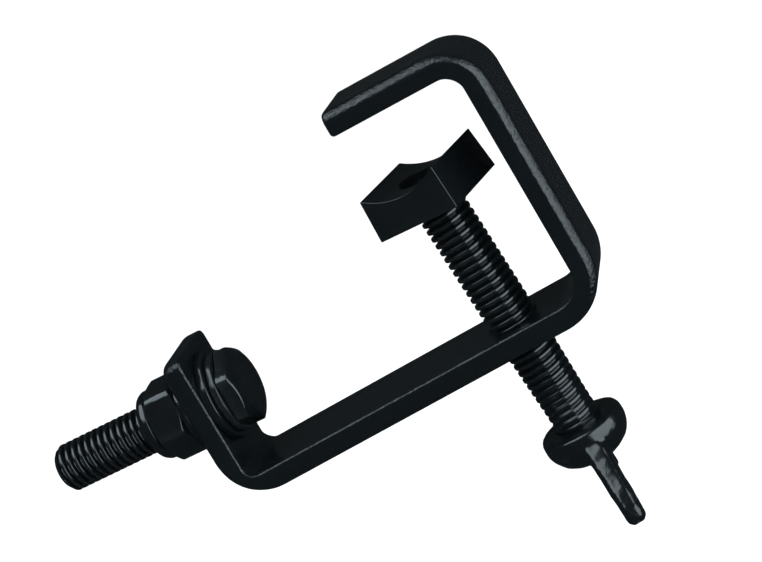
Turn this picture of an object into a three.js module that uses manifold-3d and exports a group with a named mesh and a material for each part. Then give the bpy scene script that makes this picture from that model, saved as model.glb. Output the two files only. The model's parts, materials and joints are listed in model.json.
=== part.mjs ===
// Hook clamp for hanging a light on a horizontal tube. Millimetres.
// X runs along the base arm away from the bolt tab, Y across the bar and Z up, along the clamp
// screw. The origin is on the base arm's top face, at mid width, between the tab and the screw.
// Every X below is measured from the screw's axis; the whole clamp moves by SCREW_X at the end.

import * as THREE from "three";
import { mergeVertices } from "three/addons/utils/BufferGeometryUtils.js";
import ManifoldModule from "manifold-3d";

// ---------------------------------------------------------------- driving dimensions

const SCREW_X = 37; // the screw's axis from the origin

const BAR_WIDTH = 25;
const BAR_THICKNESS = 6;
const OUTER_EDGE = 2.6; // rounding along the edges on the outside of the bends
const INNER_EDGE = 0.7; // rounding along the edges on the inside of the bends
const TIP_EDGE = 1.2; // rounding round both ends

const BACK_X = 20.2; // inner face of the back upright, at the base arm's top face
const BACK_LEAN = 2.0; // degrees, the upright leans outward
const INNER_HEIGHT = 59.5; // base arm to the hook arm's underside, at the back
const ARM_RISE = 2.5; // degrees, the hook arm rises toward its tip
const ARM_TIP_X = -9.9;
const TAB_X = -74.5; // inner face of the tab, at the base arm's top face
const TAB_LEAN = 3.5; // degrees, the tab leans toward the hook
const TAB_TOP = 34;
const TAB_CORNER = 2.2; // rounding of the tab's top corners

const TOP_BEND = 4.5; // inner bend radii
const BASE_BEND = 7;
const TAB_BEND = 3;
const TOP_BEND_OUTER = 11.8; // outer bend radii
const BASE_BEND_OUTER = 14.3;
const TAB_BEND_OUTER = 12.6;

const THREAD_MAJOR = 12.5; // crests of the half-inch thread, 13 turns to the inch, on screw and bolt
const BLANK_DIAMETER = 11.43; // the plain shank is as thick as the thread's pitch diameter
const THREAD_CLEARANCE = 0.2;

const SCREW_BLANK_TOP = -20.9;
const SCREW_TAIL = -38;
const SCREW_SHOULDER = 33;
const NECK_DIAMETER = 9;
const NECK_TOP = 38.8;
const NECK_GROOVE_DIAMETER = 7.4;

const SADDLE_SIDE = 22.8;
const SADDLE_BOTTOM = 33.2;
const SADDLE_HEIGHT = 10.8;
const SADDLE_TURN = -20; // degrees
const SADDLE_DRAFT = 3; // degrees, the sides lean in toward the top
const SADDLE_TROUGH_RADIUS = 21.5;
const SADDLE_TROUGH_HALF = 11; // half width of the trough
const SADDLE_CORNER = 1;
const SADDLE_HOLE = 9.6; // for the screw's neck
const SADDLE_RECESS = 11.8; // for the ring on the neck, open to the trough

const RING_INNER = 7.9;
const RING_OUTER = 11.2;
const RING_THICKNESS = 1;
const RING_BOTTOM = 36.4;
const RING_MOUTH = 2.6;

const HUB_TOP = -30;
const HUB_RADIUS = 10.8;
const HUB_BOTTOM = -40.8;
const WING_THICKNESS = 5.6;
const WING_REACH = 23;
const WING_BOTTOM = -52.4;
const WING_BEARING = -12.5; // degrees the wing plane is turned from the XZ plane's normal

const BOLT_HEIGHT = 19.2; // bolt axis above the base arm's top face, on the tab's inner face
const BOLT_HOLE = 13.5;
const BOLT_END = 46.4; // from the tab's inner face
const HEAD_ACROSS_FLATS = 18.4;
const HEAD_HEIGHT = 4.5;
const FLAT_WASHER = { inner: 13.5, outer: 24, thickness: 2 };
const SPRING_WASHER = { inner: 13.5, outer: 21.2, thickness: 1.9 };
const NUT_WASHER = { inner: 13.5, outer: 20.8, thickness: 1.4 };
const NUT_ACROSS_FLATS = 19;
const NUT_HEX_HEIGHT = 9;
const NUT_COLLAR_HEIGHT = 3.1;
const NUT_COLLAR_DIAMETER = 18.6;
const NUT_TURN = 22; // degrees, a corner of the nut from straight up the tab
const HEAD_CHAMFER = 1.1; // how far inside the flats an end face stops
const NUT_CHAMFER = 0.6;
const INSERT = { inner: 13, outer: 15.4, thickness: 2 };

const REST_GAP = 0.1; // air between faces that bear on each other
const ROUND = 32; // sides of every turned piece

// ---------------------------------------------------------------- solids

const wasm = await ManifoldModule();
wasm.setup();

const rad = THREE.MathUtils.degToRad;

function solidFrom(geometry) {
  const bare = new THREE.BufferGeometry();
  bare.setAttribute("position", geometry.getAttribute("position"));
  bare.setIndex(geometry.getIndex());
  const merged = mergeVertices(bare, 1e-4);
  return new wasm.Manifold(
    new wasm.Mesh({
      numProp: 3,
      vertProperties: new Float32Array(merged.attributes.position.array),
      triVerts: new Uint32Array(merged.index.array),
    }),
  );
}

function geometryFrom(solid) {
  const mesh = solid.getMesh();
  const geometry = new THREE.BufferGeometry();
  geometry.setAttribute(
    "position",
    new THREE.BufferAttribute(new Float32Array(mesh.vertProperties), 3),
  );
  geometry.setIndex(new THREE.BufferAttribute(new Uint32Array(mesh.triVerts), 1));
  geometry.computeVertexNormals();
  return geometry;
}

// A solid of revolution about Z from [radius, z] pairs that run once round its half section.
function turned(profile, sides = ROUND) {
  return wasm.Manifold.revolve([profile], sides);
}

// A round bar about Z between two heights.
function rod(radius, low, high) {
  return wasm.Manifold.cylinder(high - low, radius, radius, ROUND).translate([0, 0, low]);
}

function tube(outer, inner, low, high) {
  return rod(outer / 2, low, high).subtract(rod(inner / 2, low - 1, high + 1));
}

// A plane outline pushed up along Z by a height.
function prism(outline, height) {
  return new wasm.CrossSection([outline], "NonZero").extrude(height);
}

// ---------------------------------------------------------------- the bent bar

// The outline of the bar's section: [across the width, outward from the inner face] pairs.
function barSection(halfWidth, inset, thickness) {
  const outer = Math.max(OUTER_EDGE - inset, 0.3);
  const inner = Math.max(INNER_EDGE - inset, 0.3);
  const centres = [
    [halfWidth - outer, thickness - inset - outer, outer],
    [outer - halfWidth, thickness - inset - outer, outer],
    [inner - halfWidth, inset + inner, inner],
    [halfWidth - inner, inset + inner, inner],
  ];
  const points = [];
  for (const [quarter, [across, out, radius]] of centres.entries()) {
    for (let step = 0; step <= 3; step += 1) {
      const angle = (quarter + step / 3) * (Math.PI / 2);
      points.push([across + radius * Math.cos(angle), out + radius * Math.sin(angle)]);
    }
  }
  return points;
}

// Stations on the inner face of the bar: straight runs joined by bends, in the XZ plane. Each
// holds its place, the direction of travel, and how far the outer face's matching point has slid
// from straight outward, because a bend's two arcs have centres of their own.
function barPath(corners, innerRadii, outerRadii) {
  const stations = [];
  const directions = [];
  for (let i = 0; i + 1 < corners.length; i += 1) {
    directions.push(corners[i + 1].clone().sub(corners[i]).normalize());
  }
  stations.push({ at: corners[0], along: directions[0] });
  for (let i = 1; i + 1 < corners.length; i += 1) {
    const before = directions[i - 1];
    const after = directions[i];
    const turn = Math.acos(before.dot(after));
    const radius = innerRadii[i - 1];
    const apart = outerRadii[i - 1] - radius - BAR_THICKNESS;
    const start = corners[i].clone().addScaledVector(before, -radius * Math.tan(turn / 2));
    const inward = new THREE.Vector2(before.y, -before.x);
    const centre = start.clone().addScaledVector(inward, radius);
    const shift = centre.clone().sub(corners[i]).setLength(apart / Math.cos(turn / 2));
    const steps = 9;
    for (let step = 0; step <= steps; step += 1) {
      const angle = (-turn * step) / steps;
      const along = before.clone().rotateAround(new THREE.Vector2(), angle);
      const outward = new THREE.Vector2(-along.y, along.x);
      stations.push({
        at: start.clone().rotateAround(centre, angle),
        along,
        slide: shift.clone().addScaledVector(outward, apart),
      });
    }
  }
  stations.push({ at: corners[corners.length - 1], along: directions[directions.length - 1] });
  return stations;
}

function hookBar() {
  const lean = Math.tan(rad(BACK_LEAN));
  const backTop = new THREE.Vector2(BACK_X + INNER_HEIGHT * lean, INNER_HEIGHT);
  const tipHeight = INNER_HEIGHT + (backTop.x - ARM_TIP_X) * Math.tan(rad(ARM_RISE));
  const corners = [
    new THREE.Vector2(ARM_TIP_X, tipHeight),
    backTop,
    new THREE.Vector2(BACK_X, 0),
    new THREE.Vector2(TAB_X, 0),
    new THREE.Vector2(TAB_X + TAB_TOP * Math.tan(rad(TAB_LEAN)), TAB_TOP),
  ];
  const path = barPath(
    corners,
    [TOP_BEND, BASE_BEND, TAB_BEND],
    [TOP_BEND_OUTER, BASE_BEND_OUTER, TAB_BEND_OUTER],
  );
  const first = path[0];
  const last = path[path.length - 1];
  const half = BAR_WIDTH / 2;
  const rings = [];

  function ring(station, back, halfWidth, inset) {
    const place = station.at.clone().addScaledVector(station.along, -back);
    const outward = new THREE.Vector2(-station.along.y, station.along.x);
    const slide = station.slide ?? new THREE.Vector2();
    rings.push(
      barSection(halfWidth, inset, BAR_THICKNESS).map(([across, out]) => {
        const point = place
          .clone()
          .addScaledVector(outward, out)
          .addScaledVector(slide, out / BAR_THICKNESS);
        return new THREE.Vector3(point.x, across, point.y);
      }),
    );
  }

  for (const share of [1, 0.5, 0]) {
    const inset = TIP_EDGE * (1 - Math.cos(share * Math.PI * 0.4));
    ring(first, -TIP_EDGE * (1 - share), half - inset, inset);
  }
  path.slice(1, -1).forEach((station) => ring(station, 0, half, 0));
  for (const share of [0, 0.2, 0.4, 0.6, 0.8, 1]) {
    const angle = share * Math.PI * 0.45;
    const corner = TAB_CORNER * (1 - Math.cos(angle));
    const inset = Math.min(corner, TIP_EDGE * share * share * 0.7);
    ring(last, TAB_CORNER * (1 - Math.sin(angle)), half - corner, inset);
  }

  const count = rings[0].length;
  const positions = rings.flat().flatMap((point) => [point.x, point.y, point.z]);
  const index = [];
  for (let r = 0; r + 1 < rings.length; r += 1) {
    for (let k = 0; k < count; k += 1) {
      const a = r * count + k;
      const b = r * count + ((k + 1) % count);
      index.push(a, b, a + count, b, b + count, a + count);
    }
  }
  const end = (rings.length - 1) * count;
  for (let k = 1; k + 1 < count; k += 1) {
    index.push(0, k + 1, k);
    index.push(end, end + k, end + k + 1);
  }
  const geometry = new THREE.BufferGeometry();
  geometry.setAttribute("position", new THREE.Float32BufferAttribute(positions, 3));
  geometry.setIndex(index);
  return solidFrom(geometry);
}

function hookBarWithHoles() {
  const screwHole = rod(THREAD_MAJOR / 2 + THREAD_CLEARANCE, -BAR_THICKNESS - 5, 5);
  const boltHole = rod(BOLT_HOLE / 2, -5, BAR_THICKNESS + 5)
    .rotate([0, -(90 - TAB_LEAN), 0])
    .translate([boltOrigin.x, 0, boltOrigin.z]);
  return hookBar().subtract(screwHole).subtract(boltHole);
}

// ---------------------------------------------------------------- clamp screw and saddle

function spindle() {
  const thread = THREAD_MAJOR / 2;
  const blank = BLANK_DIAMETER / 2;
  const neck = NECK_DIAMETER / 2;
  const groove = NECK_GROOVE_DIAMETER / 2;
  return turned([
    [0, SCREW_TAIL],
    [blank - 0.5, SCREW_TAIL],
    [blank, SCREW_TAIL + 0.5],
    [blank, SCREW_BLANK_TOP],
    [thread, SCREW_BLANK_TOP + 0.6],
    [thread, SCREW_SHOULDER - 0.7],
    [thread - 0.7, SCREW_SHOULDER],
    [neck, SCREW_SHOULDER],
    [neck, RING_BOTTOM - 0.3],
    [groove, RING_BOTTOM - 0.3],
    [groove, RING_BOTTOM + RING_THICKNESS + 0.3],
    [neck, RING_BOTTOM + RING_THICKNESS + 0.3],
    [neck, NECK_TOP - 0.6],
    [neck - 0.6, NECK_TOP],
    [0, NECK_TOP],
  ]);
}

function saddleRing() {
  const top = RING_BOTTOM + RING_THICKNESS;
  const mouth = wasm.Manifold.cube([RING_OUTER, RING_MOUTH, 4 * RING_THICKNESS], false).translate([
    0,
    -RING_MOUTH / 2,
    RING_BOTTOM - RING_THICKNESS,
  ]);
  return tube(RING_OUTER, RING_INNER, RING_BOTTOM, top).subtract(mouth);
}

// A square pad with a trough for the tube across its top. The screw's neck comes through a hole
// from below, and the ring that keeps it there lies in a wider recess from above.
function saddle() {
  const half = SADDLE_SIDE / 2;
  const flare = (SADDLE_HEIGHT / 2) * Math.tan(rad(SADDLE_DRAFT));
  const depth =
    SADDLE_TROUGH_RADIUS - Math.sqrt(SADDLE_TROUGH_RADIUS ** 2 - SADDLE_TROUGH_HALF ** 2);
  const centre = SADDLE_HEIGHT - depth + SADDLE_TROUGH_RADIUS;
  const outline = [
    [-half - flare, 0],
    [half + flare, 0],
    [half + flare, SADDLE_HEIGHT],
  ];
  const steps = 14;
  for (let step = 0; step <= steps; step += 1) {
    const x = SADDLE_TROUGH_HALF * (1 - (2 * step) / steps);
    outline.push([x, centre - Math.sqrt(SADDLE_TROUGH_RADIUS ** 2 - x ** 2)]);
  }
  outline.push([-half - flare, SADDLE_HEIGHT]);
  const block = prism(outline, SADDLE_SIDE + 2 * flare)
    .rotate([90, 0, 0])
    .translate([0, half + flare, 0]);

  const corner = SADDLE_CORNER;
  const plan = [];
  for (let quarter = 0; quarter < 4; quarter += 1) {
    for (let step = 0; step <= 3; step += 1) {
      const angle = (quarter + step / 3) * (Math.PI / 2);
      const signX = quarter === 0 || quarter === 3 ? 1 : -1;
      const signY = quarter < 2 ? 1 : -1;
      plan.push([
        signX * (half + flare - corner) + corner * Math.cos(angle),
        signY * (half + flare - corner) + corner * Math.sin(angle),
      ]);
    }
  }
  const narrowing = (half - flare) / (half + flare);
  const column = new wasm.CrossSection([plan], "NonZero").extrude(SADDLE_HEIGHT, 0, 0, [
    narrowing,
    narrowing,
  ]);
  const hole = rod(SADDLE_HOLE / 2, -1, SADDLE_HEIGHT + 1);
  const seat = RING_BOTTOM - REST_GAP - SADDLE_BOTTOM;
  const recess = rod(SADDLE_RECESS / 2, seat, SADDLE_HEIGHT + 1);
  return block.intersect(column).subtract(hole).subtract(recess);
}

// ---------------------------------------------------------------- wing head

function wingHead() {
  const hub = turned([
    [0, HUB_BOTTOM],
    [3.2, HUB_BOTTOM + 0.2],
    [6.4, HUB_BOTTOM + 1.2],
    [8.8, HUB_BOTTOM + 2.8],
    [10.2, HUB_BOTTOM + 4.8],
    [HUB_RADIUS, HUB_TOP - 3.8],
    [HUB_RADIUS, HUB_TOP - 1.4],
    [HUB_RADIUS - 0.4, HUB_TOP - 0.5],
    [HUB_RADIUS - 1.3, HUB_TOP],
    [0, HUB_TOP],
  ]);
  // One wing, as [distance from the axis, height] pairs.
  const outline = new THREE.Shape();
  outline.moveTo(2, HUB_TOP - 1.2);
  outline.bezierCurveTo(5, HUB_TOP - 1.2, 8.6, HUB_TOP - 1, 10.6, HUB_TOP - 2.7);
  outline.bezierCurveTo(12.4, HUB_TOP - 4.6, 14.2, HUB_TOP - 7, 16, HUB_TOP - 9.2);
  outline.bezierCurveTo(18.2, HUB_TOP - 11.9, 20.7, HUB_TOP - 14.5, 22.2, HUB_TOP - 17.1);
  outline.bezierCurveTo(WING_REACH + 0.9, HUB_TOP - 20, WING_REACH, WING_BOTTOM, 20.2, WING_BOTTOM);
  outline.bezierCurveTo(15.5, WING_BOTTOM, 11.5, WING_BOTTOM + 6, 7.6, HUB_BOTTOM + 0.6);
  outline.lineTo(2, HUB_BOTTOM + 1.5);
  outline.closePath();
  const points = outline.getPoints(7).map((point) => [point.x, point.y]);
  const flat = prism(points, WING_THICKNESS).translate([0, 0, -WING_THICKNESS / 2]);
  const upright = flat.rotate([90, 0, 0]);
  const socket = rod(BLANK_DIAMETER / 2 + THREAD_CLEARANCE, SCREW_TAIL - 0.3, HUB_TOP + 1);
  return hub.add(upright).add(upright.rotate([0, 0, 180])).subtract(socket);
}

// ---------------------------------------------------------------- mounting bolt and nut

// In the bolt's own frame Z is its axis, zero on the tab's inner face and rising outward,
// and X points up along the tab.
const boltOrigin = {
  x: TAB_X + BOLT_HEIGHT * Math.tan(rad(TAB_LEAN)),
  z: BOLT_HEIGHT,
};

// A hexagon whose ends are taken down by a 30 degree cone to inside the flats, by the chamfers.
function hexagon(acrossFlats, low, high, chamferLow, chamferHigh) {
  const flat = acrossFlats / 2;
  const corner = flat / Math.cos(Math.PI / 6) + 0.05;
  const faceLow = chamferLow ? flat - chamferLow : corner;
  const faceHigh = chamferHigh ? flat - chamferHigh : corner;
  const slope = Math.tan(Math.PI / 6);
  const profile = [
    [0, low],
    [faceLow, low],
    [corner, low + Math.max((corner - faceLow) * slope, 0.01)],
    [corner, high - Math.max((corner - faceHigh) * slope, 0.01)],
    [faceHigh, high],
    [0, high],
  ];
  const radius = acrossFlats / Math.sqrt(3);
  const hex = wasm.Manifold.cylinder(high - low, radius, radius, 6).translate([0, 0, low]);
  return hex.intersect(turned(profile, 2 * ROUND));
}

function bolt(headTop) {
  const radius = THREAD_MAJOR / 2;
  const head = hexagon(HEAD_ACROSS_FLATS, headTop - HEAD_HEIGHT, headTop, HEAD_CHAMFER, 0);
  const shank = turned([
    [0, headTop - 1],
    [radius, headTop - 1],
    [radius, BOLT_END - 1.2],
    [radius - 1.1, BOLT_END],
    [0, BOLT_END],
  ]);
  return head.add(shank);
}

function washer(size, low) {
  return tube(size.outer, size.inner, low, low + size.thickness);
}

function splitWasher(size, low) {
  const split = wasm.Manifold.cube([size.outer, 1.4, 4 * size.thickness], false)
    .translate([0, -0.7, -2 * size.thickness])
    .rotate([0, 0, 150])
    .translate([0, 0, low]);
  return washer(size, low).subtract(split);
}

function nutBody(low) {
  const hexTop = low + NUT_HEX_HEIGHT;
  const top = hexTop + NUT_COLLAR_HEIGHT;
  const collar = NUT_COLLAR_DIAMETER / 2;
  const hex = hexagon(NUT_ACROSS_FLATS, low, hexTop, NUT_CHAMFER, NUT_CHAMFER);
  const body = hex.rotate([0, 0, NUT_TURN]).add(
    turned([
      [0, hexTop - 1],
      [collar, hexTop - 1],
      [collar, top - 1.8],
      [collar - 0.5, top - 0.7],
      [collar - 1.6, top],
      [0, top],
    ]),
  );
  const bore = rod(THREAD_MAJOR / 2 + THREAD_CLEARANCE, low - 1, hexTop);
  const pocketLow = top - 0.5 - INSERT.thickness - 0.4;
  const pocket = rod(INSERT.outer / 2 + 0.2, pocketLow, top - 0.5);
  const lip = rod(6.95, pocketLow, top + 1);
  const entry = rod(THREAD_MAJOR / 2 + THREAD_CLEARANCE, hexTop - 1, pocketLow + 0.2);
  return body.subtract(bore).subtract(pocket).subtract(lip).subtract(entry);
}

// ---------------------------------------------------------------- scene graph

function named(name, solid, look) {
  const mesh = new THREE.Mesh(geometryFrom(solid), new THREE.MeshStandardMaterial(look));
  mesh.name = name;
  return mesh;
}

const BLACK_PAINT = { color: 0x15181a, roughness: 0.38, metalness: 0.25 };
const BLACK_STEEL = { color: 0x1b1f21, roughness: 0.34, metalness: 0.7 };
const BLACK_CAST = { color: 0x131516, roughness: 0.42, metalness: 0.3 };
const SPRING_STEEL = { color: 0x24282a, roughness: 0.3, metalness: 0.8 };
const NYLON = { color: 0x202326, roughness: 0.55, metalness: 0 };

const clamp = new THREE.Group();
clamp.position.x = SCREW_X;

clamp.add(named("hook_bar", hookBarWithHoles(), BLACK_PAINT));

const screwGroup = new THREE.Group();
screwGroup.add(named("spindle", spindle(), BLACK_STEEL));
const head = named("wing_head", wingHead(), BLACK_CAST);
head.rotation.z = rad(-90 - WING_BEARING);
screwGroup.add(head);
clamp.add(screwGroup);

const saddleGroup = new THREE.Group();
saddleGroup.rotation.z = rad(SADDLE_TURN);
const pad = named("saddle", saddle(), BLACK_CAST);
pad.position.z = SADDLE_BOTTOM;
saddleGroup.add(pad);
saddleGroup.add(named("saddle_snap_ring", saddleRing(), SPRING_STEEL));
clamp.add(saddleGroup);

const boltGroup = new THREE.Group();
boltGroup.position.set(boltOrigin.x, 0, boltOrigin.z);
boltGroup.rotation.y = -rad(90 - TAB_LEAN);
const flatLow = -REST_GAP - FLAT_WASHER.thickness;
const springLow = flatLow - REST_GAP - SPRING_WASHER.thickness;
const headTop = springLow - REST_GAP;
boltGroup.add(named("head_flat_washer", washer(FLAT_WASHER, flatLow), BLACK_STEEL));
boltGroup.add(named("head_spring_washer", splitWasher(SPRING_WASHER, springLow), SPRING_STEEL));
boltGroup.add(named("mounting_bolt", bolt(headTop), BLACK_STEEL));
const nutWasherLow = BAR_THICKNESS + REST_GAP;
const nutLow = nutWasherLow + NUT_WASHER.thickness + REST_GAP;
const insertLow = nutLow + NUT_HEX_HEIGHT + NUT_COLLAR_HEIGHT - 0.7 - INSERT.thickness;
boltGroup.add(named("nut_washer", washer(NUT_WASHER, nutWasherLow), BLACK_STEEL));
boltGroup.add(named("lock_nut_body", nutBody(nutLow), BLACK_STEEL));
boltGroup.add(
  named("lock_nut_insert", tube(INSERT.outer, INSERT.inner, insertLow, insertLow + 2), NYLON),
);
clamp.add(boltGroup);

const part = new THREE.Group();
part.add(clamp);

export default part;
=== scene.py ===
"""Looks of the hook clamp: a bent flat bar, a wing screw with a swivelling saddle, and a yoke bolt.

Shapes are drawn in millimetres in two local frames, the screw's and the bolt's, whose places and
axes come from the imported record's joints. Every piece is then put in the row frame, in metres.
"""

import json
import math

import bmesh
import bpy
import numpy as np
from mathutils import Matrix, Quaternion, Vector, noise


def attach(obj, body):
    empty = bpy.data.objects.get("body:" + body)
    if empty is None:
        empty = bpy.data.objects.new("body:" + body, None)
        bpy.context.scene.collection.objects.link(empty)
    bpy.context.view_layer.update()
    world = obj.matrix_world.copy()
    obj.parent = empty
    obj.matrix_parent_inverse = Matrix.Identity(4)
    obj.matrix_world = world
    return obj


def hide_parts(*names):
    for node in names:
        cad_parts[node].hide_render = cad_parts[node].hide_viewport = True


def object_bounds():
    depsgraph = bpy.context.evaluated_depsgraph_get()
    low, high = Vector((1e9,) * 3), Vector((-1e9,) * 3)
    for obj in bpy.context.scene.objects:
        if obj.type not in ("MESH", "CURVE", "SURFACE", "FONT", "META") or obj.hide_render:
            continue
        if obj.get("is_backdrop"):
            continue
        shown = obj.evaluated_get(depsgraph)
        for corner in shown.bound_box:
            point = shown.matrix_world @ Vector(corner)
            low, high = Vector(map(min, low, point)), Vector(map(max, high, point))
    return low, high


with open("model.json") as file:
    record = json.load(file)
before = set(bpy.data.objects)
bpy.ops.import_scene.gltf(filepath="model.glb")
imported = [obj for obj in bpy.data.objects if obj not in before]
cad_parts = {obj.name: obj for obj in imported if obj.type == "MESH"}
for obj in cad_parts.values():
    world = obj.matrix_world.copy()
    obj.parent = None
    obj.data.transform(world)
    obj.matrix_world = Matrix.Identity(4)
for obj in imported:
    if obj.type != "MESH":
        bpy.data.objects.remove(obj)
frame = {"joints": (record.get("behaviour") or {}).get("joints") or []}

CAD_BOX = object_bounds()
MM = 0.001

# ------------------------------------------------------------------ sizes, millimetres

BAR_WIDTH = 25.0
BAR_THICKNESS = 6.0
OUTER_EDGE = 2.6
INNER_EDGE = 0.7
TIP_EDGE = 1.2
BACK_X = 20.2
BACK_LEAN = 2.0
INNER_HEIGHT = 59.5
ARM_RISE = 2.5
ARM_TIP_X = -9.9
TAB_X = -74.5
TAB_LEAN = 3.5
TAB_TOP = 34.0
TAB_CORNER = 2.2
TAB_OUTER_EDGE = 2.2
TAB_NEAR_WEAR = 2.6
TAB_END = 6.0
SCREW_HOLE_RADIUS = 6.32
BOLT_HOLE_RADIUS = 6.75
BEND_INNER_RADII = (4.5, 7.0, 3.0)
BEND_OUTER_RADII = (11.8, 14.3, 12.6)
BEND_SPREAD = 0.4

PITCH = 25.4 / 13
THREAD_CREST = 6.22
THREAD_ROOT = 5.1
BLANK_RADIUS = 5.715

SCREW_TAIL = -38.0
SCREW_THREAD_LOW = -30.2
SCREW_SHOULDER = 33.0
SCREW_END = 38.8
SHOULDER_RADIUS = 5.3
NECK_RADIUS = 4.5
GROOVE_RADIUS = 3.7
FILLED_ROOT = 5.35
FILLED_CREST = 5.85

SADDLE_SIDE = 22.8
SADDLE_BOTTOM = 33.2
SADDLE_HEIGHT = 10.8
SADDLE_TURN = -20.0
SADDLE_DRAFT = 3.0
TROUGH_RADIUS = 21.5
TROUGH_HALF = 11.0
SADDLE_HOLE = 9.6
SADDLE_RECESS = 11.8
RING_LOW = 36.4
RING_THICKNESS = 1.0
RING_RADII = (3.95, 5.6)
RING_MOUTH = 28.0

HUB_TOP = -30.0
WING_BEARING = -12.5

HEAD_FLATS = 18.4
HEAD_TOP = -4.2
HEAD_HEIGHT = 4.5
HEAD_CHAMFER = 1.1
WASHER_HOLE_RADIUS = 6.75
# Each washer's outer radius, low face and high face.
HEAD_WASHER = (12.0, -2.1, -0.1)
SPRING_WASHER = (10.6, -3.98, -2.32)
NUT_WASHER = (10.4, 6.1, 7.5)
SPRING_WASHER_MOUTH = 7
SPRING_WASHER_LIFT = 0.2
NUT_FLATS = 19.0
NUT_LOW = 7.6
NUT_HEX = 9.0
NUT_COLLAR = 3.1
NUT_CHAMFER = 0.6
NUT_TURN = 22.0
NUT_BORE_RADIUS = 6.35
BOLT_END = 46.4
BOLT_END_RADIUS = 4.9
BOLT_UNDERCUT = 5.6

AROUND = 72
# Points nearer than this become one, when a piece is drawn and after a hole is cut in it.
WELD = 0.004
CUT_WELD = 0.002
PINHOLE_SIDES = 6

# ------------------------------------------------------------------ local frames


def frame_of(joint_name):
    """A joint's own frame: its axis as Z, at the joint's place, with Y across the bar."""
    joint = next(j for j in frame["joints"] if j["name"] == joint_name)
    z = Vector(joint["axis"]).normalized()
    y = Vector((0, 1, 0))
    x = y.cross(z)
    turn = Matrix((x, y, z)).transposed().to_4x4()
    return Matrix.Translation(Vector(joint["pos_m"])) @ turn


SCREW_FRAME = frame_of("screw_turn")
BOLT_FRAME = frame_of("bolt_turn")

# ------------------------------------------------------------------ mesh building


def new_object(name, build):
    """Turns a bmesh into an object of the scene."""
    mesh = bpy.data.meshes.new(name)
    build.to_mesh(mesh)
    build.free()
    obj = bpy.data.objects.new(name, mesh)
    bpy.context.scene.collection.objects.link(obj)
    return obj


def piece(name, build, place, body, node, material, crease=35.0):
    """Makes one object from a bmesh drawn in millimetres and stands it in for a CAD node."""
    close_up(build, WELD)
    build.transform(place @ Matrix.Scale(MM, 4))
    obj = new_object(name, build)
    finish_mesh(obj, crease)
    obj.data.materials.append(material)
    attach(obj, body)
    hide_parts(node)
    return obj


def close_up(build, near):
    """Merges points nearer than that, drops flaps on a closed surface and fills pinholes."""
    bmesh.ops.remove_doubles(build, verts=build.verts, dist=near)
    bmesh.ops.dissolve_degenerate(build, edges=build.edges, dist=near / 2)
    crowded = {face for edge in build.edges if len(edge.link_faces) > 2 for face in edge.link_faces}
    flaps = [face for face in crowded if any(edge.is_boundary for edge in face.edges)]
    bmesh.ops.delete(build, geom=flaps, context="FACES")
    gaps = [edge for edge in build.edges if edge.is_boundary]
    bmesh.ops.holes_fill(build, edges=gaps, sides=PINHOLE_SIDES)
    bmesh.ops.recalc_face_normals(build, faces=build.faces)


def finish_mesh(obj, crease):
    for polygon in obj.data.polygons:
        polygon.use_smooth = True
    obj.data.set_sharp_from_angle(angle=math.radians(crease))


def apply_modifier(obj, kind, **settings):
    modifier = obj.modifiers.new(kind.title(), kind)
    for key, value in settings.items():
        setattr(modifier, key, value)
    graph = bpy.context.evaluated_depsgraph_get()
    result = bpy.data.meshes.new_from_object(obj.evaluated_get(graph))
    old = obj.data
    obj.modifiers.clear()
    obj.data = result
    bpy.data.meshes.remove(old)


def bridge(build, rows, cap_first=True, cap_last=True):
    """Quads between rows of points; each row's last point meets its first."""
    grid = [[build.verts.new(point) for point in row] for row in rows]
    for low, high in zip(grid, grid[1:]):
        for i in range(len(low) - 1):
            build.faces.new((low[i], low[i + 1], high[i + 1], high[i]))
    if cap_first:
        build.faces.new(list(reversed(grid[0][:-1])))
    if cap_last:
        build.faces.new(grid[-1][:-1])


def circle_angles():
    return np.linspace(0, 2 * math.pi, AROUND + 1)


def ring(radius, z):
    """A closed row at one height; radius is a number or one number for each angle."""
    angles = circle_angles()
    reach = np.broadcast_to(radius, angles.shape)
    return [(r * math.cos(a), r * math.sin(a), z) for r, a in zip(reach, angles)]


def rounded(profile, radius=0.25, steps=3):
    """A profile of (radius, z) pairs with its inner corners rounded."""
    points = [Vector(p) for p in profile]
    out = [points[0]]
    for before, corner, after in zip(points, points[1:], points[2:]):
        to_before = before - corner
        to_after = after - corner
        reach = min(radius, to_before.length * 0.45, to_after.length * 0.45)
        start = corner + to_before.normalized() * reach
        end = corner + to_after.normalized() * reach
        for step in range(steps + 1):
            t = step / steps
            out.append(start * (1 - t) ** 2 + corner * 2 * t * (1 - t) + end * t**2)
    out.append(points[-1])
    return [(p.x, p.y) for p in out]


def turned(profile):
    """Rows of a solid of revolution from (radius, z) pairs."""
    return [ring(max(radius, 0.001), z) for radius, z in profile]


def closed_ring(profile):
    """A bmesh of a ring whose section is a closed (radius, z) profile."""
    build = bmesh.new()
    loop = rounded([*profile, profile[0], profile[1]], 0.3)[1:-1]
    rows = turned(loop)
    bridge(build, [*rows, rows[0]], cap_first=False, cap_last=False)
    return build


# Share of a pitch and share of the thread's depth, along one turn of the thread.
THREAD_SECTION = (
    (0.0, 0.0),
    (0.07, 0.06),
    (0.16, 0.42),
    (0.24, 0.79),
    (0.29, 0.93),
    (0.35, 0.99),
    (0.65, 0.99),
    (0.71, 0.93),
    (0.76, 0.79),
    (0.84, 0.42),
    (0.93, 0.06),
)


def plain_ridge(z):
    return THREAD_ROOT, THREAD_CREST


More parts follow.
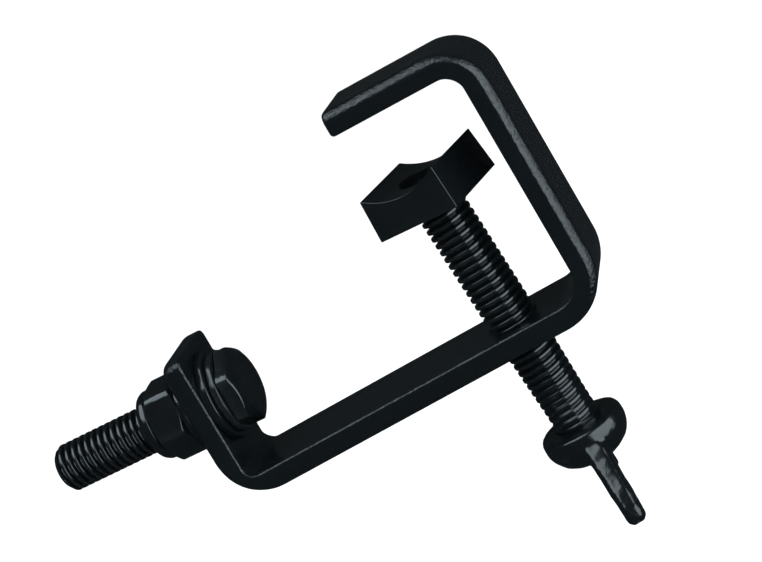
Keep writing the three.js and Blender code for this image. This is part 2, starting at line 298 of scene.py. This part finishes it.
def threaded(low, high, limit, ridge=plain_ridge):
    """Rows that wind up a right-hand thread from low to high.

    ridge(z) is the radius of its root and its crest, and limit(z) cuts it off flat."""
    angles = circle_angles()
    count = len(THREAD_SECTION)
    turns = int((high - low) / PITCH) + 2
    rows = []
    for k in range(-count, turns * count):
        share, depth = THREAD_SECTION[k % count]
        start = low + PITCH * (k // count + share)
        row = []
        for angle in angles:
            z = start + PITCH * angle / (2 * math.pi)
            inside = min(max(z, low), high)
            bottom, top = ridge(inside)
            radius = bottom + (top - bottom) * depth
            reach = limit(inside) if z != inside else min(radius, limit(inside))
            row.append((reach * math.cos(angle), reach * math.sin(angle), inside))
        rows.append(row)
    return rows


# ------------------------------------------------------------------ finishes


def finish(name, colour, worn, rough, metallic, peel, grain, coat=0.0, brushed=None):
    """A dark metal finish: mottled colour, lighter worn edges, uneven gloss, orange peel.

    brushed is (size, depth) of paint dragged rough along the edges that run with the bar."""
    material = bpy.data.materials.new(name)
    material.use_nodes = True
    nodes = material.node_tree.nodes
    links = material.node_tree.links
    shader = nodes["Principled BSDF"]
    place = nodes.new("ShaderNodeTexCoord").outputs["Object"]

    def cloud(scale, detail=3.0, roughness=0.55):
        node = nodes.new("ShaderNodeTexNoise")
        node.inputs["Scale"].default_value = scale
        node.inputs["Detail"].default_value = detail
        node.inputs["Roughness"].default_value = roughness
        links.new(place, node.inputs["Vector"])
        return node.outputs["Fac"]

    def ramp(source, low, high, first, last):
        node = nodes.new("ShaderNodeValToRGB")
        node.color_ramp.elements[0].position = low
        node.color_ramp.elements[0].color = (*first, 1)
        node.color_ramp.elements[1].position = high
        node.color_ramp.elements[1].color = (*last, 1)
        links.new(source, node.inputs["Fac"])
        return node.outputs["Color"]

    def bump(height, depth, strength, under=None):
        node = nodes.new("ShaderNodeBump")
        node.inputs["Strength"].default_value = strength
        node.inputs["Distance"].default_value = depth * MM
        links.new(height, node.inputs["Height"])
        if under is not None:
            links.new(under, node.inputs["Normal"])
        return node.outputs["Normal"]

    deep = tuple(0.85 * c for c in colour)
    mottled = ramp(cloud(55, 4), 0.35, 0.68, deep, colour)
    edges = nodes.new("ShaderNodeNewGeometry").outputs["Pointiness"]
    wear = ramp(edges, 0.53, 0.62, (0, 0, 0), (0.55, 0.55, 0.55))
    mix = nodes.new("ShaderNodeMix")
    mix.data_type = "RGBA"
    links.new(wear, mix.inputs["Factor"])
    links.new(mottled, mix.inputs["A"])
    mix.inputs["B"].default_value = (*worn, 1)
    links.new(mix.outputs["Result"], shader.inputs["Base Color"])

    low, high = rough
    gloss = ramp(cloud(260, 4, 0.6), 0.3, 0.72, (low,) * 3, (high,) * 3)
    links.new(gloss, shader.inputs["Roughness"])

    def maths(operation, *values):
        node = nodes.new("ShaderNodeMath")
        node.operation = operation
        for value, entry in zip(values, node.inputs):
            if isinstance(value, (int, float)):
                entry.default_value = value
            else:
                links.new(value, entry)
        return node.outputs["Value"]

    def along_edges(height):
        """A height kept on the rounded edges that run with the bar, off its flats and bends."""
        split = nodes.new("ShaderNodeSeparateXYZ")
        links.new(nodes.new("ShaderNodeNewGeometry").outputs["Normal"], split.inputs["Vector"])
        across = maths("MULTIPLY", split.outputs["Y"], split.outputs["Y"])
        share = maths("MULTIPLY", across, maths("SUBTRACT", 1.0, across))
        return maths("MULTIPLY", height, maths("MULTIPLY", share, 4.0))

    peel_size, peel_depth = peel
    grain_size, grain_depth = grain
    coarse = bump(cloud(1000 / peel_size, 2), peel_depth, 1.0)
    fine = bump(cloud(1000 / grain_size, 3, 0.7), grain_depth, 1.0, coarse)
    if brushed:
        size, depth = brushed
        fine = bump(along_edges(cloud(1000 / size, 3)), depth, 1.0, fine)
    links.new(fine, shader.inputs["Normal"])
    links.new(fine, shader.inputs["Coat Normal"])

    shader.inputs["Metallic"].default_value = metallic
    shader.inputs["Coat Weight"].default_value = coat
    shader.inputs["Coat Roughness"].default_value = 0.16
    return material


PAINT = finish(
    "black_paint_finish",
    colour=(0.003, 0.0044, 0.0054),
    worn=(0.016, 0.02, 0.023),
    rough=(0.1, 0.2),
    metallic=0.0,
    peel=(1.7, 0.05),
    grain=(0.5, 0.005),
    coat=0.3,
    brushed=(0.7, 0.35),
)
STEEL = finish(
    "black_steel_finish",
    colour=(0.0035, 0.005, 0.0058),
    worn=(0.024, 0.029, 0.032),
    rough=(0.1, 0.2),
    metallic=0.15,
    peel=(1.1, 0.04),
    grain=(0.35, 0.006),
    coat=0.5,
)
CASTING = finish(
    "black_casting_finish",
    colour=(0.0034, 0.0047, 0.0054),
    worn=(0.014, 0.018, 0.02),
    rough=(0.13, 0.24),
    metallic=0.0,
    peel=(2.2, 0.08),
    grain=(0.5, 0.008),
    coat=0.25,
)
SPRING = finish(
    "spring_steel_finish",
    colour=(0.009, 0.0108, 0.012),
    worn=(0.04, 0.045, 0.05),
    rough=(0.1, 0.2),
    metallic=0.3,
    peel=(0.8, 0.03),
    grain=(0.3, 0.015),
    coat=0.4,
)
NYLON = finish(
    "nylon_finish",
    colour=(0.009, 0.0105, 0.0115),
    worn=(0.014, 0.016, 0.018),
    rough=(0.42, 0.56),
    metallic=0.0,
    peel=(0.9, 0.03),
    grain=(0.25, 0.02),
)

# ------------------------------------------------------------------ the bent bar


def bar_stations():
    """Places along the bar's inner face: (place, direction of travel, slide, depth in a bend).

    A bend's two arcs have centres of their own, so the outer face's matching point slides a
    little from straight outward; along a straight run the slide fades from bend to bend."""
    lean = math.tan(math.radians(BACK_LEAN))
    back_top = Vector((BACK_X + INNER_HEIGHT * lean, INNER_HEIGHT))
    tip_height = INNER_HEIGHT + (back_top.x - ARM_TIP_X) * math.tan(math.radians(ARM_RISE))
    corners = [
        Vector((ARM_TIP_X, tip_height)),
        back_top,
        Vector((BACK_X, 0)),
        Vector((TAB_X, 0)),
        Vector((TAB_X + TAB_TOP * math.tan(math.radians(TAB_LEAN)), TAB_TOP)),
    ]
    ways = [(b - a).normalized() for a, b in zip(corners, corners[1:])]
    stations = [(corners[0], ways[0], Vector((0, 0)), 0.0)]

    def straight(to, way, slide):
        here, _, before_slide, _ = stations[-1]
        count = max(2, round((to - here).length / 2.0))
        for i in range(1, count + 1):
            part = i / count
            stations.append((here.lerp(to, part), way, before_slide.lerp(slide, part), 0.0))

    radii = zip(BEND_INNER_RADII, BEND_OUTER_RADII)
    for corner, (inner, outer), before, after in zip(corners[1:], radii, ways, ways[1:]):
        turn = before.angle(after)
        start = corner - before * inner * math.tan(turn / 2)
        centre = start + Vector((before.y, -before.x)) * inner
        apart = outer - inner - BAR_THICKNESS
        shift = (centre - corner).normalized() * apart / math.cos(turn / 2)
        steps = 24
        for step in range(steps + 1):
            part_turn = Matrix.Rotation(-turn * step / steps, 2)
            way = part_turn @ before
            slide = shift + Vector((-way.y, way.x)) * apart
            at = centre + part_turn @ (start - centre)
            if step == 0:
                straight(at, way, slide)
            else:
                stations.append((at, way, slide, math.sin(math.pi * step / steps) ** 2))
    straight(corners[-1], ways[-1], Vector((0, 0)))
    return stations


def bar_section(near, far, inside, outside, share, near_wear):
    """One closed row of the bar as (across, outward) pairs.

    near and far are its two sides, inside and outside how far each face has drawn in, share how
    deep in a bend it is, where it is wider on the inside, and near_wear how much rounder its
    near outer edge has become."""
    outer = max(OUTER_EDGE - 0.8 * outside, 0.4)
    inner = max(INNER_EDGE - 0.8 * inside, 0.3)
    worn = outer + near_wear
    top = BAR_THICKNESS - outside
    corners = (
        (far - outer, top - outer, outer),
        (near + worn, top - worn, worn),
        (near + inner, inside + inner, inner),
        (far - inner, inside + inner, inner),
    )
    row = []
    for quarter, (across, out, radius) in enumerate(corners):
        for step in range(9):
            angle = (quarter + step / 8) * math.pi / 2
            x = across + radius * math.cos(angle)
            y = out + radius * math.sin(angle)
            spread = BEND_SPREAD * share * (1 - 2 * y / BAR_THICKNESS)
            row.append((x + math.copysign(spread, x), y))
    row.append(row[0])
    return row


def bar_rows():
    stations = bar_stations()
    half = BAR_WIDTH / 2
    rows = []

    def add(station, forward, near, far, inside=0.0, outside=0.0, near_wear=0.0):
        at, way, slide, share = station
        outward = Vector((-way.y, way.x))
        row = []
        for across, out in bar_section(near, far, inside, outside, share, near_wear):
            point = at + way * forward + outward * out + slide * out / BAR_THICKNESS
            row.append((point.x, across, point.y))
        rows.append(row)

    tip, end = stations[0], stations[-1]
    steps = 7
    for step in range(steps + 1):
        forward = TIP_EDGE * (step / steps) ** 2
        drawn = corner_loss(TIP_EDGE, forward)
        add(tip, forward, drawn - half, half - drawn, drawn, drawn)
    # The last stations give way to the closer rows of the tab's end.
    for station in stations[1:-4]:
        add(station, 0, -half, half)
    steps = 20
    for step in range(steps + 1):
        back = TAB_END * (1 - step / steps) ** 1.8
        side = corner_loss(TAB_CORNER, back)
        inside = corner_loss(INNER_EDGE, back)
        outside = corner_loss(TAB_OUTER_EDGE, back)
        near_wear = TAB_NEAR_WEAR * (1 - back / TAB_END) ** 2
        add(end, -back, side - half, half - side, inside, outside, near_wear)
    return rows


def corner_loss(radius, back):
    """How far a rounded corner has drawn in at a distance back from the end."""
    if back >= radius:
        return 0.0
    return 0.93 * (radius - math.sqrt(max(radius**2 - (radius - back) ** 2, 0)))


def cutter(low, high, radius, chamfer, place=SCREW_FRAME):
    """A round cutter about a frame's axis, wider by a chamfer at both mouths."""
    build = bmesh.new()
    wide = radius + chamfer
    rows = [ring(0.001, low - 1), ring(wide, low - 1), ring(wide, low)]
    rows += [ring(radius, low + chamfer), ring(radius, high - chamfer)]
    rows += [ring(wide, high), ring(wide, high + 1), ring(0.001, high + 1)]
    bridge(build, rows)
    bmesh.ops.remove_doubles(build, verts=build.verts, dist=WELD)
    bmesh.ops.recalc_face_normals(build, faces=build.faces)
    build.transform(place @ Matrix.Scale(MM, 4))
    return new_object("cutter", build)


def cut(obj, tool):
    apply_modifier(obj, "BOOLEAN", operation="DIFFERENCE", object=tool, solver="EXACT")
    bpy.data.objects.remove(tool)
    build = bmesh.new()
    build.from_mesh(obj.data)
    close_up(build, CUT_WELD * MM)
    build.to_mesh(obj.data)
    build.free()


build = bmesh.new()
bridge(build, bar_rows())
bar = piece(
    "bent_bar", build, SCREW_FRAME, "frame", "hook_bar", PAINT, crease=50.0
)
cut(bar, cutter(-BAR_THICKNESS, 0, SCREW_HOLE_RADIUS, 0.45))
cut(bar, cutter(0, BAR_THICKNESS, BOLT_HOLE_RADIUS, 0.35, BOLT_FRAME))
finish_mesh(bar, 40.0)
apply_modifier(bar, "WEIGHTED_NORMAL", keep_sharp=True)

# ------------------------------------------------------------------ clamp screw


def between(z, low, high):
    """How far z has come from low to high, from 0 to 1."""
    return min(max((z - low) / (high - low), 0), 1)


def screw_limit(z):
    """The widest the screw may be at a height: its plain shank at the foot, its chamfered end."""
    foot = BLANK_RADIUS + max(z + 29.5, 0) * 0.2
    return min(THREAD_CREST, foot, SHOULDER_RADIUS + (SCREW_SHOULDER - z) * 1.1)


def screw_ridge(z):
    """The thread runs out toward the wing head and is half filled by its paint there."""
    share = between(z, -24.0, -7.0)
    root = FILLED_ROOT - (FILLED_ROOT - THREAD_ROOT) * share
    crest = FILLED_CREST + (THREAD_CREST - FILLED_CREST) * share
    return root, crest


build = bmesh.new()
foot = [(0, SCREW_TAIL), (BLANK_RADIUS, SCREW_TAIL), (BLANK_RADIUS, SCREW_THREAD_LOW - 0.3)]
rows = turned(rounded(foot, 0.5))
rows += threaded(SCREW_THREAD_LOW, SCREW_SHOULDER, screw_limit, screw_ridge)
rows += turned(
    rounded(
        [
            (SHOULDER_RADIUS, SCREW_SHOULDER),
            (NECK_RADIUS, SCREW_SHOULDER),
            (NECK_RADIUS, RING_LOW - 0.3),
            (GROOVE_RADIUS, RING_LOW - 0.3),
            (GROOVE_RADIUS, RING_LOW + RING_THICKNESS + 0.3),
            (NECK_RADIUS, RING_LOW + RING_THICKNESS + 0.3),
            (NECK_RADIUS, SCREW_END - 0.6),
            (NECK_RADIUS - 0.6, SCREW_END),
            (0, SCREW_END),
        ],
        0.12,
    )
)
bridge(build, rows)
piece("screw_shank", build, SCREW_FRAME, "clamp_screw", "spindle", STEEL)

# ------------------------------------------------------------------ wing head


# Four points for each curve round a wing: distance from the axis, height over the hub's top.
WING_CURVES = (
    ((1.0, -1.3), (5.0, -1.3), (8.6, -1.1), (10.6, -2.8)),
    ((10.6, -2.8), (12.4, -4.7), (14.2, -7.1), (16.0, -9.3)),
    ((16.0, -9.3), (18.2, -12.0), (20.6, -14.6), (22.1, -17.2)),
    ((22.1, -17.2), (23.8, -20.0), (22.9, -22.3), (20.2, -22.3)),
    ((20.2, -22.3), (15.5, -22.3), (11.5, -15.4), (7.6, -10.1)),
    ((7.6, -10.1), (5.5, -9.2), (3.0, -8.9), (1.0, -8.9)),
)
WING_ROOT_HALF = 2.9
WING_TIP_HALF = 2.3
WING_ROUND = 2.25


def wing_outline():
    """One wing seen from its side: (distance from the axis, height) pairs."""
    points = []
    for curve in WING_CURVES:
        a, b, c, d = (Vector(p) for p in curve)
        for step in range(8):
            t = step / 8
            s = 1 - t
            points.append(a * s**3 + 3 * b * s * s * t + 3 * c * s * t * t + d * t**3)
    points.append(Vector(WING_CURVES[-1][3]))
    return [(p.x, HUB_TOP + p.y) for p in points]


def wing_half(reach):
    """A wing thins from its root toward its tip."""
    return WING_ROOT_HALF + (WING_TIP_HALF - WING_ROOT_HALF) * between(reach, 11, 22)


def wing_solid(build, side):
    """One wing with well rounded edges, added to a bmesh."""
    one = bmesh.new()
    outline = wing_outline()
    front = [one.verts.new((side * x, -wing_half(x), z)) for x, z in outline]
    back = [one.verts.new((side * x, wing_half(x), z)) for x, z in outline]
    count = len(outline)
    for i in range(count):
        j = (i + 1) % count
        one.faces.new((front[i], front[j], back[j], back[i]))
    faces = [one.faces.new(front), one.faces.new(list(reversed(back)))]
    bmesh.ops.recalc_face_normals(one, faces=one.faces)
    rim = {edge for face in faces for edge in face.edges}
    bmesh.ops.bevel(
        one, geom=list(rim), offset=WING_ROUND, segments=5, affect="EDGES", clamp_overlap=True
    )
    mesh = bpy.data.meshes.new("wing")
    one.to_mesh(mesh)
    one.free()
    build.from_mesh(mesh)
    bpy.data.meshes.remove(mesh)


def roughen(obj, size, depth):
    """Moves a cast surface in and out a little, over lumps of a size in millimetres."""
    mesh = obj.data
    normals = [vertex.normal.copy() for vertex in mesh.vertices]
    for vertex, normal in zip(mesh.vertices, normals):
        lump = noise.noise(vertex.co / (size * MM)) + 0.5 * noise.noise(vertex.co / (0.45 * size * MM))
        vertex.co += normal * lump * depth * MM


# The hub's outline from its foot up: radius, height over the hub's top.
HUB_PROFILE = [
    (0, -10.8),
    (3.4, -10.5),
    (6.6, -9.5),
    (8.9, -7.9),
    (10.2, -5.9),
    (10.8, -3.8),
    (10.8, -1.5),
    (10.3, -0.4),
    (9.2, 0.0),
    (0, 0.0),
]

build = bmesh.new()
bridge(build, turned([(r, HUB_TOP + z) for r, z in HUB_PROFILE]))
wing_solid(build, 1)
wing_solid(build, -1)
head_place = SCREW_FRAME @ Matrix.Rotation(math.radians(-90 - WING_BEARING), 4, "Z")
head = piece(
    "wing_casting", build, head_place, "clamp_screw", "wing_head", CASTING, 80.0
)
apply_modifier(head, "REMESH", mode="VOXEL", voxel_size=0.4 * MM, use_smooth_shade=True)
apply_modifier(head, "SMOOTH", factor=0.5, iterations=10)
roughen(head, 4.0, 0.12)
cut(head, cutter(SCREW_TAIL + 0.2, HUB_TOP, BLANK_RADIUS + 0.06, 0.3))
finish_mesh(head, 60.0)

# ------------------------------------------------------------------ saddle


def saddle_block():
    half = SADDLE_SIDE / 2
    centre = SADDLE_HEIGHT + math.sqrt(TROUGH_RADIUS**2 - TROUGH_HALF**2)
    outline = [(-half, 0), (half, 0), (half, SADDLE_HEIGHT)]
    steps = 28
    for step in range(steps + 1):
        x = TROUGH_HALF * (1 - 2 * step / steps)
        outline.append((x, centre - math.sqrt(TROUGH_RADIUS**2 - x * x)))
    outline.append((-half, SADDLE_HEIGHT))
    build = bmesh.new()

    def corner(x, y, z):
        """A point of the block, whose sides lean in toward the top."""
        flare = 1 + (SADDLE_HEIGHT / 2 - z) * math.tan(math.radians(SADDLE_DRAFT)) / half
        return build.verts.new((x * flare, y * flare, z))

    front = [corner(x, -half, z) for x, z in outline]
    back = [corner(x, half, z) for x, z in outline]
    count = len(outline)
    for i in range(count):
        j = (i + 1) % count
        build.faces.new((front[i], front[j], back[j], back[i]))
    build.faces.new(front)
    build.faces.new(list(reversed(back)))
    bmesh.ops.translate(build, verts=build.verts, vec=(0, 0, SADDLE_BOTTOM))
    return build


saddle_place = SCREW_FRAME @ Matrix.Rotation(math.radians(SADDLE_TURN), 4, "Z")
pad = piece(
    "saddle_casting",
    saddle_block(),
    saddle_place,
    "swivel_saddle",
    "saddle",
    CASTING,
)
apply_modifier(
    pad,
    "BEVEL",
    width=0.55 * MM,
    segments=4,
    limit_method="ANGLE",
    angle_limit=math.radians(30),
    harden_normals=False,
)
cut(pad, cutter(SADDLE_BOTTOM, SADDLE_BOTTOM + SADDLE_HEIGHT, SADDLE_HOLE / 2, 0.3))
cut(pad, cutter(RING_LOW + 0.9, SADDLE_BOTTOM + SADDLE_HEIGHT, SADDLE_RECESS / 2, 0.0))
finish_mesh(pad, 40.0)

# ------------------------------------------------------------------ snap ring


def open_ring(inner, outer, low, high, mouth, lift=0.0, start=0.0):
    """A ring of rounded rectangular section with a mouth cut through it.

    mouth is the gap in degrees, lift how far one end stands above the other."""
    corner = 0.22
    centre = ((inner + outer) / 2, (low + high) / 2)
    wide = (outer - inner) / 2
    tall = (high - low) / 2
    section = []
    for quarter, (sx, sy) in enumerate(((1, 1), (-1, 1), (-1, -1), (1, -1))):
        for step in range(4):
            angle = (quarter + step / 3) * math.pi / 2
            section.append(
                (
                    centre[0] + sx * (wide - corner) + corner * math.cos(angle),
                    centre[1] + sy * (tall - corner) + corner * math.sin(angle),
                )
            )
    section.append(section[0])
    rows = []
    steps = 96
    for step in range(steps + 1):
        share = step / steps
        angle = math.radians(start + mouth / 2 + (360 - mouth) * share)
        rise = lift * (share - 0.5)
        rows.append([(r * math.cos(angle), r * math.sin(angle), z + rise) for r, z in section])
    build = bmesh.new()
    bridge(build, rows)
    return build


piece(
    "retaining_ring",
    open_ring(*RING_RADII, RING_LOW, RING_LOW + RING_THICKNESS, RING_MOUTH, start=-20),
    SCREW_FRAME,
    "screw_carrier",
    "saddle_snap_ring",
    SPRING,
)

# ------------------------------------------------------------------ yoke bolt, washers and nut


def hex_rows(flats, low, high, chamfer_low, chamfer_high, turn=0.0):
    """Rows up a hexagon with a corner up the tab, or turned from there by some degrees.

    Each end is taken down by a 30 degree cone that starts the chamfer's width inside the flats;
    None leaves that end square."""
    angles = circle_angles()
    off = np.mod(angles - math.radians(turn), math.pi / 3) - math.pi / 6
    side = np.minimum(flats / 2 / np.cos(off), flats / math.sqrt(3) - 0.22)
    rows = []

    def row(radius, height):
        heights = np.broadcast_to(height, angles.shape)
        radii = np.broadcast_to(radius, angles.shape)
        rows.append([(r * math.cos(a), r * math.sin(a), z) for r, a, z in zip(radii, angles, heights)])

    def end(z, inward, chamfer):
        """The rows at one end, from its face to its side; inward is the way into the hexagon."""
        if chamfer is None:
            row(side - 0.15, z)
            row(side, z + inward * 0.15)
            return
        face = flats / 2 - chamfer
        drop = (side - face) * math.tan(math.radians(30))
        row(face - 0.3, z)
        row(face, z + inward * 0.06)
        for share in (0.3, 0.6, 0.88):
            row(face + (side - face) * share, z + inward * (0.06 + drop * share))
        row(side - 0.04, z + inward * (0.1 + drop))
        row(side, z + inward * (0.3 + drop))

    end(low, 1, chamfer_low)
    mark = len(rows)
    end(high, -1, chamfer_high)
    rows[mark:] = reversed(rows[mark:])
    return rows


def bolt_limit(z):
    """The widest the bolt may be at a height: its undercut at the head, its chamfered end."""
    under_head = BOLT_UNDERCUT + max(z - HEAD_TOP - 1.0, 0) * 0.5
    return min(THREAD_CREST, BOLT_END_RADIUS + BOLT_END - z, under_head)


build = bmesh.new()
head_bottom = HEAD_TOP - HEAD_HEIGHT
rows = [ring(0.001, head_bottom), ring(6.0, head_bottom)]
rows += hex_rows(HEAD_FLATS, head_bottom, HEAD_TOP, HEAD_CHAMFER, None)
rows += [ring(7.0, HEAD_TOP), ring(BOLT_UNDERCUT + 0.3, HEAD_TOP)]
rows += [ring(BOLT_UNDERCUT, HEAD_TOP + 0.3)]
rows += threaded(HEAD_TOP + 0.6, BOLT_END, bolt_limit)
rows += [ring(BOLT_END_RADIUS, BOLT_END), ring(4.2, BOLT_END), ring(0.001, BOLT_END)]
bridge(build, rows)
piece("yoke_bolt_body", build, BOLT_FRAME, "yoke_bolt", "mounting_bolt", STEEL, 40.0)


def flat_washer(outer, low, high):
    """A flat washer; they all have the same hole."""
    inner = WASHER_HOLE_RADIUS
    return closed_ring([(inner, low), (outer, low), (outer, high), (inner, high)])


piece(
    "washer_under_head",
    flat_washer(*HEAD_WASHER),
    BOLT_FRAME,
    "yoke_bolt",
    "head_flat_washer",
    STEEL,
)
piece(
    "spring_washer_split",
    open_ring(
        WASHER_HOLE_RADIUS, *SPRING_WASHER, SPRING_WASHER_MOUTH, lift=SPRING_WASHER_LIFT, start=150
    ),
    BOLT_FRAME,
    "yoke_bolt",
    "head_spring_washer",
    SPRING,
)
piece(
    "washer_under_nut",
    flat_washer(*NUT_WASHER),
    BOLT_FRAME,
    "nut_carrier",
    "nut_washer",
    STEEL,
)

build = bmesh.new()
hex_top = NUT_LOW + NUT_HEX
nut_top = hex_top + NUT_COLLAR
rows = [ring(NUT_BORE_RADIUS, NUT_LOW + 0.5), ring(6.9, NUT_LOW)]
rows += hex_rows(NUT_FLATS, NUT_LOW, hex_top, NUT_CHAMFER, NUT_CHAMFER, NUT_TURN)
rows += turned(
    rounded(
        [
            (8.9, hex_top),
            (9.15, hex_top + 0.25),
            (9.2, nut_top - 1.7),
            (8.6, nut_top - 0.6),
            (7.7, nut_top),
            (6.95, nut_top),
            (6.95, nut_top - 0.5),
            (7.9, nut_top - 0.5),
            (7.9, nut_top - 2.9),
            (NUT_BORE_RADIUS, nut_top - 2.9),
            (NUT_BORE_RADIUS, NUT_LOW + 0.5),
        ],
        0.3,
    )
)
bridge(build, rows, cap_first=False, cap_last=False)
piece("nut_shell", build, BOLT_FRAME, "lock_nut", "lock_nut_body", STEEL, 40.0)
piece(
    "nut_locking_ring",
    closed_ring(
        [
            (NUT_BORE_RADIUS + 0.1, nut_top - 2.75),
            (7.75, nut_top - 2.75),
            (7.75, nut_top - 0.7),
            (NUT_BORE_RADIUS + 0.1, nut_top - 0.7),
        ]
    ),
    BOLT_FRAME,
    "lock_nut",
    "lock_nut_insert",
    NYLON,
)

# ------------------------------------------------------------------ floor, light, camera

# The wing head needs this much room below it when the screw is run right down.
SCREW_DROP = 0.032
FLOOR_Z = CAD_BOX[0].z - SCREW_DROP
MIDDLE = (CAD_BOX[0] + CAD_BOX[1]) / 2
LAMP_COLOUR = (0.8, 0.93, 1.0)
SKY_STRENGTH = 1.2
# What the clamp's gloss reflects where no soft box stands.
REFLECTED_COLOUR = (0.8, 0.95, 1.0, 1)
REFLECTED_STRENGTH = 0.023


def backdrop():
    """A pale floor that curves up into a pale wall far behind the clamp."""
    profile = [(-3.0, 0.0), (2.0, 0.0)]
    for step in range(1, 13):
        angle = math.radians(7.5 * step)
        profile.append((2.0 + 1.2 * math.sin(angle), 1.2 * (1 - math.cos(angle))))
    profile.append((3.2, 4.0))
    ahead = Vector((CAMERA_AIM - CAMERA_AT).to_2d()).normalized()
    side = Vector((ahead.y, -ahead.x))
    build = bmesh.new()
    rows = []
    for reach in (-4.0, 4.0):
        row = []
        for forward, height in profile:
            at = ahead * forward + side * reach
            row.append(build.verts.new((at.x, at.y, FLOOR_Z + height)))
        rows.append(row)
    for i in range(len(profile) - 1):
        build.faces.new((rows[0][i], rows[1][i], rows[1][i + 1], rows[0][i + 1]))
    obj = new_object("backdrop", build)
    for polygon in obj.data.polygons:
        polygon.use_smooth = True
    obj.visible_glossy = False
    material = bpy.data.materials.new("backdrop_finish")
    material.use_nodes = True
    shader = material.node_tree.nodes["Principled BSDF"]
    shader.inputs["Base Color"].default_value = (0.9, 0.9, 0.9, 1)
    shader.inputs["Roughness"].default_value = 0.9
    shader.inputs["Specular IOR Level"].default_value = 0.1
    obj.data.materials.append(material)
    obj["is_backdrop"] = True


def soft_light(name, toward, distance, size, power):
    """A soft box facing the clamp from a direction."""
    data = bpy.data.lights.new(name, "AREA")
    data.shape = "RECTANGLE"
    data.size, data.size_y = size
    data.energy = power
    data.color = LAMP_COLOUR
    obj = bpy.data.objects.new(name, data)
    way = Vector(toward).normalized()
    obj.location = MIDDLE + way * distance
    obj.rotation_mode = "QUATERNION"
    obj.rotation_quaternion = (-way).to_track_quat("-Z", "Y")
    bpy.context.scene.collection.objects.link(obj)


def studio():
    """White surroundings that light the clamp but leave its gloss to the soft boxes."""
    world = bpy.data.worlds.new("studio")
    bpy.context.scene.world = world
    world.use_nodes = True
    nodes = world.node_tree.nodes
    links = world.node_tree.links
    bright = nodes["Background"]
    bright.inputs["Color"].default_value = (1, 1, 1, 1)
    bright.inputs["Strength"].default_value = SKY_STRENGTH
    dim = nodes.new("ShaderNodeBackground")
    dim.inputs["Color"].default_value = REFLECTED_COLOUR
    dim.inputs["Strength"].default_value = REFLECTED_STRENGTH
    mix = nodes.new("ShaderNodeMixShader")
    links.new(nodes.new("ShaderNodeLightPath").outputs["Is Glossy Ray"], mix.inputs["Fac"])
    links.new(bright.outputs["Background"], mix.inputs[1])
    links.new(dim.outputs["Background"], mix.inputs[2])
    links.new(mix.outputs["Shader"], nodes["World Output"].inputs["Surface"])


CAMERA_AT = Vector((0.147, -0.43143, 0.1142))
CAMERA_AIM = Vector((0.01501, -0.00097, 0.02416))
CAMERA_ROLL = -33.21
CAMERA_LENS = 90.95
CAMERA_SENSOR = 36

backdrop()
studio()
soft_light("overhead", toward=(-0.28, -0.35, 0.9), distance=0.8, size=(0.8, 0.6), power=4.4)
soft_light("right", toward=(0.83, -0.55, 0.03), distance=0.9, size=(1.2, 1.0), power=11.5)

camera_data = bpy.data.cameras.new("camera")
camera_data.sensor_width = CAMERA_SENSOR
camera_data.lens = CAMERA_LENS
camera = bpy.data.objects.new("camera", camera_data)
camera.location = CAMERA_AT
camera.rotation_mode = "QUATERNION"
level = (CAMERA_AIM - CAMERA_AT).to_track_quat("-Z", "Y")
camera.rotation_quaternion = level @ Quaternion((0, 0, 1), math.radians(CAMERA_ROLL))
bpy.context.scene.collection.objects.link(camera)
bpy.context.scene.camera = camera
bpy.context.scene.view_settings.view_transform = "Standard"

boxes = {"cad": CAD_BOX, "visual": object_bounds()}
{k: [list(corner) for corner in box] for k, box in boxes.items()}
